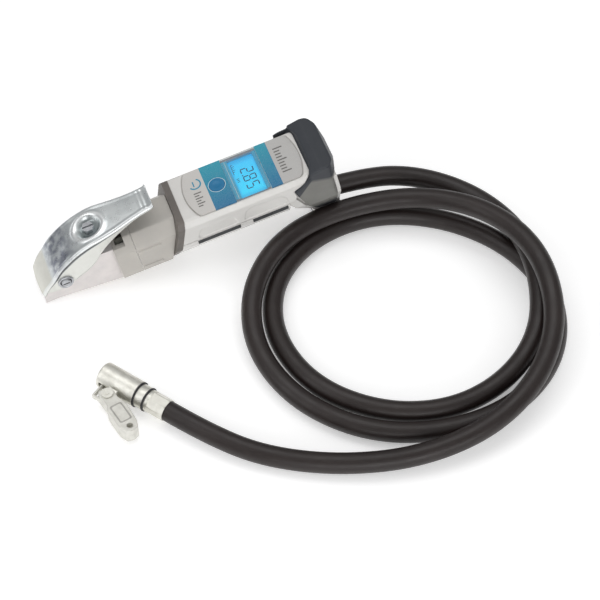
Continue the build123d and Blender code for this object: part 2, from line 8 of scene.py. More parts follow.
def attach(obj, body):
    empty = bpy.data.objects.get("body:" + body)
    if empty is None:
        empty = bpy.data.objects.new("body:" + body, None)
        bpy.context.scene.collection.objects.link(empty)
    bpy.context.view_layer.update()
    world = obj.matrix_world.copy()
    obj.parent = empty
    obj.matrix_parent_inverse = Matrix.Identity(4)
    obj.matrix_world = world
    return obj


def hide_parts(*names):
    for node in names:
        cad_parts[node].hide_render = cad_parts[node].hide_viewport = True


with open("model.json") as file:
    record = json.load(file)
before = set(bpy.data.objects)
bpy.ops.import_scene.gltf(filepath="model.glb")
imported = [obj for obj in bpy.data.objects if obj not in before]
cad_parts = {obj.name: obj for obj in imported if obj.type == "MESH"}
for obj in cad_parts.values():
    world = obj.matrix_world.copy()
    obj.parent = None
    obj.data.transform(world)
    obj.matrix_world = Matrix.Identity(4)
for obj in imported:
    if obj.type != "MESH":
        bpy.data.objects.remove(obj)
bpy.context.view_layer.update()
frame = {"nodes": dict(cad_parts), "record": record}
NODES = frame["nodes"]
SLOTS = {p["node"]: p["material_slot"] for p in frame["record"]["subparts"]}

# ---- frames: the handle's own frame and the chuck's, both in millimetres ------------------------
PITCH = math.radians(10.5)
COS, SIN = math.cos(PITCH), math.sin(PITCH)
NOSE_X = -102.0
XT = Vector((COS, 0, SIN))
ZT = Vector((-SIN, 0, COS))
TOOL_ORIGIN = Vector((NOSE_X, 0, 0)) / 1000


def tool(x, y, z):
    """A point of the handle's frame, as a point of the row in metres."""
    return (Vector((NOSE_X, 0, 0)) + XT * x + Vector((0, y, 0)) + ZT * z) / 1000


CHUCK_END = Vector((-54.0, -128.3, 8.75))
CHUCK_TO = (Vector((-34.5, -154.9, 8.75)) - CHUCK_END).normalized()
CHUCK_SIDE = Vector((-CHUCK_TO.y, CHUCK_TO.x, 0))
CHUCK_ORIGIN = CHUCK_END - CHUCK_TO * 50.9


def chuck(x, y, z):
    """A point of the chuck's frame: X from its open end to the hose, Y to its left, Z up from its axis."""
    return (CHUCK_ORIGIN + CHUCK_TO * x + CHUCK_SIDE * y + Vector((0, 0, z))) / 1000


# ---- camera ------------------------------------------------------------------------------------
camera_data = bpy.data.cameras.new("camera")
camera = bpy.data.objects.new("camera", camera_data)
bpy.context.collection.objects.link(camera)
right = Vector((0.94264, -0.33381, 0.0))
up = Vector((0.26305, 0.74281, 0.61566))
back = Vector((-0.20551, -0.58035, 0.78801))
turn = Matrix((right, up, back)).transposed()
camera.matrix_world = Matrix.Translation(Vector((-0.23193, -0.87882, 1.10322))) @ turn.to_4x4()
camera_data.lens = 127.68
camera_data.sensor_width = 36.0
camera_data.clip_end = 20.0
bpy.context.scene.camera = camera

# ---- materials -----------------------------------------------------------------------------------

class Paint:
    """A procedural material: two tones mixed by noise, uneven roughness, fine bump, and a tone on sharp
    edges: paler wear on most, painted shade on the clip.
    """

    def __init__(self, name):
        self.material = bpy.data.materials.new(name)
        self.material.use_nodes = True
        self.tree = self.material.node_tree
        self.bsdf = next(n for n in self.tree.nodes if n.type == "BSDF_PRINCIPLED")
        self.coord = self.add("ShaderNodeTexCoord")

    def add(self, kind, **values):
        node = self.tree.nodes.new(kind)
        for key, value in values.items():
            setattr(node, key, value)
        return node

    def link(self, a, b):
        self.tree.links.new(a, b)

    def noise(self, scale, detail=4.0, stretch=None, kind="Object", rough=0.55):
        texture = self.add("ShaderNodeTexNoise")
        texture.inputs["Scale"].default_value = scale
        texture.inputs["Detail"].default_value = detail
        texture.inputs["Roughness"].default_value = rough
        if stretch:
            mapping = self.add("ShaderNodeMapping")
            mapping.inputs["Scale"].default_value = stretch
            self.link(self.coord.outputs[kind], mapping.inputs["Vector"])
            self.link(mapping.outputs["Vector"], texture.inputs["Vector"])
        else:
            self.link(self.coord.outputs[kind], texture.inputs["Vector"])
        return texture.outputs[0]

    def spread(self, value, low, high, start=0.3, end=0.7):
        node = self.add("ShaderNodeMapRange")
        node.inputs["From Min"].default_value = start
        node.inputs["From Max"].default_value = end
        node.inputs["To Min"].default_value = low
        node.inputs["To Max"].default_value = high
        self.link(value, node.inputs["Value"])
        return node.outputs[0]

    def between(self, value, rise, fall):
        """1 between two slopes: it rises over the first pair of values and falls over the second."""
        return self.math("MULTIPLY", self.spread(value, 0.0, 1.0, *rise), self.spread(value, 1.0, 0.0, *fall))

    def math(self, operation, a, b):
        node = self.add("ShaderNodeMath", operation=operation)
        for socket, value in zip(node.inputs, (a, b)):
            if isinstance(value, (int, float)):
                socket.default_value = value
            else:
                self.link(value, socket)
        return node.outputs[0]

    def mix(self, factor, a, b):
        node = self.add("ShaderNodeMix", data_type="RGBA")
        if isinstance(factor, (int, float)):
            node.inputs[0].default_value = factor
        else:
            self.link(factor, node.inputs[0])
        for socket, value in ((node.inputs[6], a), (node.inputs[7], b)):
            if isinstance(value, tuple):
                socket.default_value = (*value, 1.0)
            else:
                self.link(value, socket)
        return node.outputs[2]

    def along(self, direction, origin=TOOL_ORIGIN):
        """Distance in millimetres along a direction of the row, from an origin."""
        shift = self.add("ShaderNodeVectorMath", operation="SUBTRACT")
        self.link(self.coord.outputs["Object"], shift.inputs[0])
        shift.inputs[1].default_value = origin
        dot = self.add("ShaderNodeVectorMath", operation="DOT_PRODUCT")
        self.link(shift.outputs[0], dot.inputs[0])
        dot.inputs[1].default_value = direction * 1000
        return dot.outputs["Value"]

    def edges(self, radius, start=0.55, end=0.97):
        """1 on sharp edges and 0 on flat faces."""
        soft = self.add("ShaderNodeBevel", samples=4)
        soft.inputs["Radius"].default_value = radius
        geometry = self.add("ShaderNodeNewGeometry")
        dot = self.add("ShaderNodeVectorMath", operation="DOT_PRODUCT")
        self.link(soft.outputs[0], dot.inputs[0])
        self.link(geometry.outputs["Normal"], dot.inputs[1])
        return self.spread(dot.outputs["Value"], 1.0, 0.0, start, end)

    def color(self, value):
        if isinstance(value, tuple):
            self.bsdf.inputs["Base Color"].default_value = (*value, 1.0)
        else:
            self.link(value, self.bsdf.inputs["Base Color"])

    def roughness(self, value):
        if isinstance(value, (int, float)):
            self.bsdf.inputs["Roughness"].default_value = value
        else:
            self.link(value, self.bsdf.inputs["Roughness"])

    def bump(self, height, strength, distance):
        node = self.add("ShaderNodeBump")
        node.inputs["Strength"].default_value = strength
        node.inputs["Distance"].default_value = distance
        self.link(height, node.inputs["Height"])
        self.link(node.outputs[0], self.bsdf.inputs["Normal"])

    def put(self, **values):
        for key, value in values.items():
            self.bsdf.inputs[key.replace("_", " ")].default_value = value


def metal(name, tone, dark, rough, patch=60.0, grain=900.0, bump=0.15, edge=None, metallic=1.0):
    paint = Paint(name)
    mottle = paint.spread(paint.noise(patch, 5.0), 0.0, 1.0, 0.35, 0.7)
    body = paint.mix(mottle, tone, dark)
    if edge:
        body = paint.mix(paint.edges(0.0006), body, edge)
    paint.color(body)
    paint.roughness(paint.spread(paint.noise(patch * 3.1, 6.0), rough[0], rough[1]))
    paint.bump(paint.noise(grain, 3.0), bump, 0.0001)
    paint.put(Metallic=metallic)
    return paint


def plastic(name, tone, dark, rough, patch=40.0, grain=2600.0, bump=0.12, edge=None, coat=0.0):
    paint = Paint(name)
    mottle = paint.spread(paint.noise(patch, 4.0), 0.0, 1.0, 0.3, 0.75)
    body = paint.mix(mottle, tone, dark)
    if edge:
        body = paint.mix(paint.math("MULTIPLY", paint.edges(0.0007), 0.6), body, edge)
    paint.color(body)
    paint.roughness(paint.spread(paint.noise(patch * 4.0, 6.0), rough[0], rough[1]))
    paint.bump(paint.noise(grain, 2.0), bump, 0.00006)
    paint.put(Coat_Weight=coat, Coat_Roughness=0.15)
    return paint


zinc = metal("zinc", (0.80, 0.83, 0.85), (0.60, 0.64, 0.68), (0.20, 0.34), 70, 700, 0.22, (0.95, 0.96, 0.97))
nickel = metal("nickel", (0.80, 0.79, 0.73), (0.66, 0.65, 0.59), (0.32, 0.48), 160, 1500, 0.3,
               (0.90, 0.89, 0.84), metallic=0.85)
# painted shade: the clip's sharp edges are darkened to draw its outlines
clip_nickel = metal("clip_nickel", (0.72, 0.71, 0.66), (0.62, 0.61, 0.56), (0.40, 0.55), 260, 1500, 0.4,
                    (0.50, 0.49, 0.45), metallic=0.45)
# painted shade: the clip panel's raised frame is coloured darker to draw its outline
clip_frame_shade = metal("clip_frame_shade", (0.46, 0.45, 0.42), (0.38, 0.37, 0.34), (0.40, 0.55), 260, 1500, 0.3,
                   metallic=0.45)
casting = metal("casting", (0.73, 0.69, 0.675), (0.63, 0.60, 0.59), (0.42, 0.56), 90, 2200, 0.35,
                (0.80, 0.77, 0.75), metallic=0.25)
brass = metal("brass", (0.78, 0.58, 0.28), (0.62, 0.44, 0.20), (0.25, 0.40), 120, 1500, 0.2,
              (0.90, 0.74, 0.42))
steel = metal("steel", (0.52, 0.53, 0.55), (0.38, 0.39, 0.41), (0.28, 0.45), 120, 1800, 0.2,
              (0.75, 0.76, 0.78))
neck_paint = plastic("neck_paint", (0.50, 0.475, 0.435), (0.44, 0.42, 0.39), (0.38, 0.50), 60, 3200, 0.2,
                     (0.66, 0.64, 0.60))
taupe = plastic("taupe", (0.155, 0.135, 0.12), (0.115, 0.105, 0.095), (0.42, 0.55), 90, 3000, 0.2,
                (0.26, 0.24, 0.22))
silver = plastic("silver", (0.70, 0.685, 0.66), (0.64, 0.625, 0.60), (0.34, 0.44), 50, 4200, 0.18,
                 (0.82, 0.81, 0.79), coat=0.3)
grip = plastic("grip", (0.05, 0.052, 0.055), (0.03, 0.031, 0.034), (0.55, 0.72), 200, 2400, 0.8,
               (0.10, 0.10, 0.105))
seal = plastic("seal", (0.02, 0.02, 0.021), (0.03, 0.03, 0.032), (0.50, 0.65), 200, 2500, 0.3)
bezel_grey = plastic("bezel_grey", (0.30, 0.315, 0.345), (0.25, 0.26, 0.29), (0.30, 0.42), 80, 3600, 0.15,
                     (0.46, 0.48, 0.52))
board = plastic("board", (0.01, 0.10, 0.045), (0.008, 0.07, 0.03), (0.30, 0.40), 400, 2600, 0.3, coat=0.4)
wrap = plastic("wrap", (0.05, 0.06, 0.07), (0.04, 0.045, 0.05), (0.25, 0.35), 200, 2600, 0.1)
nylon = plastic("nylon", (0.70, 0.70, 0.62), (0.60, 0.60, 0.53), (0.30, 0.40), 200, 2600, 0.1)
guide = plastic("guide", (0.85, 0.90, 0.93), (0.75, 0.82, 0.86), (0.35, 0.45), 200, 2600, 0.1)
key_blue = plastic("key_blue", (0.003, 0.165, 0.345), (0.002, 0.150, 0.325), (0.36, 0.46), 120, 3600, 0.12,
                   coat=0.05)
pale_print = plastic("pale_print", (0.60, 0.78, 0.86), (0.52, 0.70, 0.80), (0.35, 0.45), 300, 3600, 0.1)
dark_print = plastic("dark_print", (0.16, 0.15, 0.145), (0.12, 0.115, 0.11), (0.35, 0.45), 300, 3600, 0.1)
teal_print = plastic("teal_print", (0.02, 0.27, 0.42), (0.02, 0.24, 0.38), (0.35, 0.45), 300, 3600, 0.1)
segment_ink = plastic("segment_ink", (0.010, 0.035, 0.12), (0.008, 0.03, 0.10), (0.3, 0.4), 300, 3600, 0.05)


def make_hose_rubber():
    """Extruded cover: near-black brown with a fine lengthwise weave and a soft satin sheen."""
    paint = Paint("hose_rubber")
    lengthwise = paint.noise(1.0, 6.0, stretch=(260.0, 90.0, 1.0), kind="UV", rough=0.65)
    mottle = paint.noise(35.0, 5.0)
    tone = paint.mix(paint.spread(mottle, 0.0, 1.0), (0.0115, 0.0070, 0.0062), (0.019, 0.0125, 0.0112))
    paint.color(paint.mix(paint.spread(lengthwise, 0.0, 0.5, 0.5, 0.75), tone, (0.045, 0.034, 0.031)))
    paint.roughness(paint.spread(paint.noise(90.0, 6.0), 0.33, 0.46))
    weave = paint.noise(1.0, 4.0, stretch=(900.0, 46.0, 1.0), kind="UV")
    paint.bump(paint.math("ADD", lengthwise, weave), 0.30, 0.00025)
    paint.put(Specular_IOR_Level=0.42)
    return paint


def make_cap_rubber():
    """Charcoal moulded rubber over the end, with painted light on each flank: the side below the shoulder is
    coloured a lighter grey where it faces the lamps.
    """
    paint = Paint("cap_rubber")
    height = paint.along(ZT)
    rear = paint.along(XT)
    sideways = paint.math("ABSOLUTE", paint.along(Vector((0, 1, 0)), Vector((0, 0, 0))), 0.0)
    # painted light: the flank below the rounded shoulder and behind the front edge is lightened to grey
    front_line = paint.math("SUBTRACT", paint.math("MULTIPLY", rear, 1.07), 172.9)
    under_front = paint.spread(paint.math("SUBTRACT", front_line, height), 0.0, 1.0, 0.2, 1.2)
    top_line = paint.math("SUBTRACT", 92.5, paint.math("MULTIPLY", rear, 0.33))
    under_top = paint.spread(paint.math("SUBTRACT", top_line, height), 0.0, 1.0, -0.5, 2.5)
    lit_flank_mask = paint.math("MULTIPLY", under_front, under_top)
    lit_flank_mask = paint.math("MULTIPLY", lit_flank_mask, paint.spread(sideways, 0.0, 1.0, 15.0, 20.0))
    mottle = paint.spread(paint.noise(60.0, 5.0), 0.0, 1.0)
    dark = paint.mix(mottle, (0.030, 0.034, 0.042), (0.023, 0.027, 0.035))
    grey = paint.mix(mottle, (0.190, 0.188, 0.172), (0.165, 0.163, 0.150))
    # the grey is painted light on the flank; the charcoal is the rubber's own colour
    body = paint.mix(lit_flank_mask, dark, grey)
    paint.color(paint.mix(paint.math("MULTIPLY", paint.edges(0.0008), 0.35), body, (0.13, 0.135, 0.15)))
    paint.roughness(paint.spread(paint.noise(140.0, 6.0), 0.40, 0.52))
    paint.bump(paint.noise(2200.0, 3.0), 0.25, 0.00008)
    return paint


def make_label_film():
    """Printed film: silver ends and blue bands across, with a satin face."""
    paint = Paint("label_film")
    x = paint.along(XT)
    ramp = paint.add("ShaderNodeValToRGB")
    ramp.color_ramp.interpolation = "CONSTANT"
    stops = ramp.color_ramp.elements
    silver_tone = (0.575, 0.555, 0.53, 1)
    blue_tone = (0.001, 0.15, 0.315, 1)
    stops[0].position, stops[0].color = 0.0, silver_tone
    stops[1].position, stops[1].color = 0.25, blue_tone
    for place, tone in ((0.395, (0.42, 0.62, 0.72, 1)), (0.64, blue_tone), (0.716, (0.47, 0.46, 0.445, 1))):
        stop = stops.new(place)
        stop.color = tone
    paint.link(paint.spread(x, 0.0, 1.0, 100.0, 200.0), ramp.inputs[0])
    y = paint.along(Vector((0, 1, 0)), Vector((0, 0, 0)))
    fade = paint.spread(y, 0.0, 1.0, -19.0, 19.0)
    bands = paint.between(x, (124.9, 125.1), (171.5, 171.7))
    teal = paint.mix(0.55, ramp.outputs[0], (0.0, 0.42, 0.48))
    body = paint.mix(paint.math("MULTIPLY", fade, bands), ramp.outputs[0], teal)
    speckle = paint.spread(paint.noise(1800.0, 2.0), 0.0, 0.10)
    paint.color(paint.mix(speckle, body, (0.9, 0.9, 0.9)))
    paint.roughness(paint.spread(paint.noise(150.0, 5.0), 0.30, 0.40))
    paint.bump(paint.noise(3600.0, 2.0), 0.10, 0.00004)
    paint.put(Specular_IOR_Level=0.3)
    return paint


def make_screen():
    """Backlit liquid crystal: bright cyan, deeper at the edges."""
    paint = Paint("screen")
    x = paint.along(XT)
    y = paint.along(Vector((0, 1, 0)), Vector((0, 0, 0)))
    across = paint.math("ABSOLUTE", paint.math("SUBTRACT", x, 152.8), 0.0)
    rim = paint.math("MAXIMUM", paint.spread(across, 0.0, 1.0, 7.4, 9.2),
                     paint.spread(paint.math("ABSOLUTE", y, 0.0), 0.0, 1.0, 12.0, 15.2))
    glow = paint.mix(paint.spread(y, 0.0, 1.0, -15.0, 15.0), (0.012, 0.60, 0.86), (0.018, 0.47, 0.80))
    body = paint.mix(paint.math("MULTIPLY", rim, 0.55), glow, (0.005, 0.26, 0.56))
    grain = paint.mix(paint.spread(paint.noise(2600.0, 1.0), 0.0, 0.06), body, (0.5, 0.9, 1.0))
    paint.color(grain)
    paint.link(grain, paint.bsdf.inputs["Emission Color"])
    paint.put(Emission_Strength=0.42)
    paint.roughness(0.35)
    return paint


def make_window():
    """Clear acrylic: passes light straight through and adds a faint reflection."""
    paint = Paint("clear_window")
    clear = paint.add("ShaderNodeBsdfTransparent")
    clear.inputs[0].default_value = (0.96, 0.985, 0.99, 1)
    shine = paint.add("ShaderNodeBsdfGlossy")
    paint.link(paint.spread(paint.noise(300.0, 4.0), 0.03, 0.09), shine.inputs["Roughness"])
    mixer = paint.add("ShaderNodeMixShader")
    mixer.inputs[0].default_value = 0.05
    paint.link(clear.outputs[0], mixer.inputs[1])
    paint.link(shine.outputs[0], mixer.inputs[2])
    output = next(n for n in paint.tree.nodes if n.type == "OUTPUT_MATERIAL")
    paint.link(mixer.outputs[0], output.inputs["Surface"])
    return paint


hose_rubber = make_hose_rubber()
cap_rubber = make_cap_rubber()
label_film = make_label_film()
screen = make_screen()
window = make_window()

BY_SLOT = {
    "plated_steel": zinc, "cast_alloy": casting, "neck_grey": neck_paint, "taupe_trim": taupe,
    "silver_plastic": silver, "grip_grey": grip, "label_film": label_film, "clear_window": window,
    "bezel_grey": bezel_grey, "display_blue": screen, "backlight_white": guide, "board_green": board,
    "key_blue": key_blue, "cell_wrap": wrap, "tube_nylon": nylon, "cap_rubber": cap_rubber,
    "hose_rubber": hose_rubber, "seal_rubber": seal, "ring_black": seal, "nickel": nickel,
    "brass": brass, "spring_steel": steel,
}

# ---- every carried-over CAD node: its material, and softened edges -----------------------------------
EDGE_WIDTH = {
    "valve_block": 0.0009, "front_collar": 0.0010, "neck_sleeve": 0.0010, "rim_ring": 0.0009,
    "upper_shell": 0.0006, "lower_shell": 0.0006, "label_panel": 0.0003, "grip_strips": 0.0004,
    "lever_pivot_pin": 0.0004, "chuck_collar": 0.0004, "chuck_ferrule": 0.0003, "clip_pin": 0.0005,
    "chuck_rings": 0.0003, "adjusting_screw": 0.0004, "units_key": 0.0004, "foot_pad": 0.0005,
}


def soften_edges(piece, width, segments=3):
    weld = piece.modifiers.new("weld", "WELD")
    weld.merge_threshold = 0.000004
    bevel = piece.modifiers.new("edges", "BEVEL")
    bevel.width = width
    bevel.segments = segments
    bevel.limit_method = "ANGLE"
    bevel.angle_limit = math.radians(38)
    bevel.use_clamp_overlap = True
    bevel.harden_normals = False


for node_name, node_object in NODES.items():
    node_object.data.materials.clear()
    paint = steel if node_name in ("adjusting_screw", "lock_nut") else BY_SLOT[SLOTS[node_name]]
    node_object.data.materials.append(paint.material)
    if node_name in EDGE_WIDTH:
        soften_edges(node_object, EDGE_WIDTH[node_name])


# ---- building helpers ----------------------------------------------------------------------------------
def finish_piece(name, mesh, paint, body, nodes=(), smooth=True):
    piece = bpy.data.objects.new(name, mesh)
    bpy.context.collection.objects.link(piece)
    mesh.materials.clear()
    mesh.materials.append(paint.material)
    for polygon in mesh.polygons:
        polygon.use_smooth = smooth
    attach(piece, body)
    if nodes:
        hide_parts(*nodes)
    return piece


def surface(rows, wrap=False):
    """A quad mesh through rows of points."""
    count = len(rows[0])
    points = [tuple(p) for row in rows for p in row]
    faces = []
    for i in range(len(rows) - 1):
        for j in range(count if wrap else count - 1):
            k = (j + 1) % count
            faces.append((i * count + j, i * count + k, (i + 1) * count + k, (i + 1) * count + j))
    mesh = bpy.data.meshes.new("surface")
    mesh.from_pydata(points, [], faces)
    mesh.validate()
    mesh.update()
    return mesh


def smoothed(node, voxel, passes, factor=0.5):
    """A rounded copy of a CAD node's shape, as a mesh."""
    source = NODES[node]
    piece = bpy.data.objects.new("working", source.data.copy())
    bpy.context.collection.objects.link(piece)
    weld = piece.modifiers.new("weld", "WELD")
    weld.merge_threshold = 0.000004
    remesh = piece.modifiers.new("remesh", "REMESH")
    remesh.mode = "VOXEL"
    remesh.voxel_size = voxel
    smooth = piece.modifiers.new("smooth", "SMOOTH")
    smooth.factor = factor
    smooth.iterations = passes
    bpy.context.view_layer.update()
    graph = bpy.context.evaluated_depsgraph_get()
    mesh = bpy.data.meshes.new_from_object(piece.evaluated_get(graph))
    bpy.data.objects.remove(piece)
    return mesh


def plate(outline, low, high, place, rounding=0.35, segments=3):
    """A flat outline given thickness, with rounded rims. place turns (u, v, height) into a row point."""
    count = len(outline)
    centre = (sum(p[0] for p in outline) / count, sum(p[1] for p in outline) / count)

    def ring(inset, height):
        pulled = []
        for u, v in outline:
            du, dv = centre[0] - u, centre[1] - v
            reach = math.hypot(du, dv) or 1.0
            pulled.append(place(u + du / reach * inset, v + dv / reach * inset, height))
        return pulled

    rows = [ring(inset=rounding * 4, height=high)]
    for step in range(segments + 1):
        a = math.pi / 2 * step / segments
        rows.append(ring(rounding * (1 - math.sin(a)), high - rounding * (1 - math.cos(a))))
    rows.append(ring(0.0, low))
    mesh = surface(rows, wrap=True)
    mesh.update()
    points = [tuple(v.co) for v in mesh.vertices]
    faces = [tuple(p.vertices) for p in mesh.polygons]
    faces.append(tuple(range(count))[::-1])
    last = len(points) - count
    faces.append(tuple(last + i for i in range(count)))
    closed = bpy.data.meshes.new("plate")
    closed.from_pydata(points, [], faces)
    closed.update()
    return closed


def rounded_box(u0, u1, v0, v1, radius, steps=5):
    corners = [(u1 - radius, v1 - radius, 0), (u0 + radius, v1 - radius, 90),
               (u0 + radius, v0 + radius, 180), (u1 - radius, v0 + radius, 270)]
    outline = []
    for cu, cv, start in corners:
        for step in range(steps + 1):
            a = math.radians(start + 90 * step / steps)
            outline.append((cu + radius * math.cos(a), cv + radius * math.sin(a)))
    return outline


def turned(profile, place, sides=64):
    """A turned piece: profile of (distance along, radius); place turns (along, side, up) into a row point."""
    turns = [math.tau * i / sides for i in range(sides)]
    rows = []
    for along_axis, radius in profile:
        rows.append([place(along_axis, radius * math.cos(a), radius * math.sin(a)) for a in turns])
    return surface(rows, wrap=True)


def joined(meshes):
    points, faces = [], []
    for mesh in meshes:
        start = len(points)
        points += [tuple(v.co) for v in mesh.vertices]
        faces += [tuple(start + i for i in p.vertices) for p in mesh.polygons]
    whole = bpy.data.meshes.new("joined")
    whole.from_pydata(points, [], faces)
    whole.update()
    return whole


def smoothstep(a, b, value):
    t = min(max((value - a) / (b - a), 0.0), 1.0)
    return t * t * (3 - 2 * t)


# ---- hose ----------------------------------------------------------------------------------------------
ROUTE = [
    (100, 0, 24.5), (129, 0, 24.5), (158, -6.5, 21), (183, -23.5, 18), (200, -49, 18), (207, -82, 21.5),
    (202.5, -120, 21.5), (187, -155, 16), (156, -178, 9.5), (115, -186, 6.75), (72, -173, 6.75),
    (38, -139, 6.75), (27.6, -92, 6.75), (43, -50, 6.75), (80, -23, 6.75), (127, -18, 6.75), (172, -39, 6.75),
    (204, -78, 6.75), (213, -125, 6.75), (195, -168, 6.75), (157, -196, 6.75), (108, -201, 6.75),
    (60, -185, 6.75), (25, -147, 6.75), (12, -101, 10), (24, -58, 16), (57, -27, 20), (105, -17, 21),
    (155, -29, 27), (190, -62, 35), (206, -106, 38), (200, -153, 29), (173, -190, 22), (131, -212, 16),
    (83, -215, 11), (36, -203, 8), (-6, -181, 6.75), (-34.5, -154.9, 8.75), (-54, -128.3, 8.75),
]
HOSE_R = 6.75
hose_curve = bpy.data.curves.new("hose_cover", "CURVE")
hose_curve.dimensions = "3D"
hose_curve.bevel_depth = HOSE_R / 1000
hose_curve.bevel_resolution = 10
hose_curve.resolution_u = 10
hose_curve.use_fill_caps = True
spline = hose_curve.splines.new("NURBS")
spline.points.add(len(ROUTE) - 1)
for control, point in zip(spline.points, ROUTE):
    control.co = (point[0] / 1000, point[1] / 1000, point[2] / 1000, 1.0)
spline.order_u = 3
spline.use_endpoint_u = True
hose = bpy.data.objects.new("hose_cover", hose_curve)
bpy.context.collection.objects.link(hose)
hose_curve.materials.append(hose_rubber.material)
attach(hose, "handle")
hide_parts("hose")


# ---- lever ---------------------------------------------------------------------------------------------
LEVER_LINE = [
    ((-0.8, 9.4), (2.4, 8.2)), ((3.4, 15.6), (5.6, 9.4)), ((9.9, 22.4), (12.0, 9.2)),
    ((17.3, 29.3), (19.5, 10.8)), ((26.0, 35.4), (28.0, 14.4)), ((34.0, 39.3), (34.6, 17.6)),
    ((42.0, 41.9), (40.6, 22.4)), ((50.0, 43.3), (48.0, 30.4)), ((60.0, 44.3), (57.0, 35.8)),
    ((71.0, 46.0), (69.0, 40.6)), ((88.0, 49.0), (86.0, 45.4)),
]
LEVER_HALF = 15.1
DISH_X = 44.0


def catmull(points, t):
    """A smooth value along a list of tuples, t from 0 to 1."""
    last = len(points) - 1
    place = min(t * last, last - 1e-9)
    i = int(place)
    f = place - i
    p0, p1, p2, p3 = (points[min(max(k, 0), last)] for k in (i - 1, i, i + 1, i + 2))
    return [
        0.5 * (2 * b + (c - a) * f + (2 * a - 5 * b + 4 * c - d) * f * f + (3 * b - a - 3 * c + d) * f ** 3)
        for a, b, c, d in zip(p0, p1, p2, p3)
    ]


def lever_relief(x, y):
    """Height of the pressed shapes above the lever's plain top."""
    r = math.hypot((x - DISH_X) * 0.95, y)
    lift = 0.7 * math.exp(-((r - 10.4) / 1.6) ** 2)
    lift -= 3.2 * (1 - smoothstep(5.4, 9.2, r))
    waist = math.exp(-((x - 20) / 7.0) ** 2) * math.exp(-(y / 9.0) ** 2)
    lift -= 0.9 * waist
    if 78 < x < 88:
        hold = smoothstep(79, 80.5, x) * (1 - smoothstep(84.5, 86.5, x))
        lift += 0.20 * hold * math.cos((x - 80.5) * math.tau / 2.6) * (1 - smoothstep(7.5, 9.0, abs(y)))
    lift += 0.9 * smoothstep(85.2, 87.8, x)
    return lift


def make_lever():
    tops = [a for a, b in LEVER_LINE]
    feet = [b for a, b in LEVER_LINE]
    rows = []
    stations = 220
    roll, step_in = 1.7, 0.9
    for i in range(stations + 1):
        t = i / stations
        x, z = catmull(tops, t)
        ahead = catmull(tops, min(t + 0.004, 1.0))
        behind = catmull(tops, max(t - 0.004, 0.0))
        tx, tz = ahead[0] - behind[0], ahead[1] - behind[1]
        size = math.hypot(tx, tz)
        nx, nz = -tz / size, tx / size
        fx, fz = catmull(feet, t)
        # the plate narrows a little at the nose and more towards the rear
        width = LEVER_HALF - 1.0 * (1 - smoothstep(-1.0, 10.0, x)) ** 2
        width -= 5.1 * smoothstep(46.0, 84.0, x) ** 0.85
        flat = width - roll
        side = []
        for j in range(34):
            y = flat * j / 33
            crown = -(0.9 - 0.4 * smoothstep(8, 16, x)) * (y / flat) ** 2
            rim = 0.40 * smoothstep(flat - 2.2, flat - 0.2, y) * smoothstep(8, 16, x)
            lift = lever_relief(x, y) + crown + rim
            side.append((x + nx * lift, y, z + nz * lift))
        edge_lift = (-0.9 + 0.8 * smoothstep(8, 16, x)) + 0.9 * smoothstep(85.2, 87.8, x)
        for j in range(1, 7):
            a = math.pi / 2 * j / 6
            drop = roll * (1 - math.cos(a)) - edge_lift
            side.append((x - nx * drop, flat + roll * math.sin(a), z - nz * drop))
        tuck_x, tuck_z = x - nx * (roll + 0.9 - edge_lift), z - nz * (roll + 0.9 - edge_lift)
        side.append((tuck_x, width - step_in * 0.7, tuck_z))
        for j in range(1, 13):
            f = j / 12
            side.append((tuck_x + (fx - tuck_x) * f, width - step_in, tuck_z + (fz - tuck_z) * f))
        row = [(px, -y, pz) for px, y, pz in reversed(side[1:])] + side
        rows.append([tool(*p) for p in row])
    mesh = surface(rows)
    mesh.flip_normals()
    # 0 on the pressed top, 0.25 on the rolled edge, 0.5 in the step under it, 1 on the flange
    half_zone = [0.0] * 33 + [0.25] * 7 + [0.5] + [0.6] + [1.0] * 11
    zone = [v for v in reversed(half_zone[1:])] + half_zone
    layer = mesh.attributes.new("zone", "FLOAT", "POINT")
    for index, vertex_zone in enumerate(layer.data):
        vertex_zone.value = zone[index % len(zone)]
    piece = finish_piece("lever_pressing", mesh, zinc_pressing, "lever", ["lever"])
    thick = piece.modifiers.new("sheet", "SOLIDIFY")
    thick.thickness = 0.0011
    thick.offset = -1.0
    thick.use_even_offset = False
    return piece


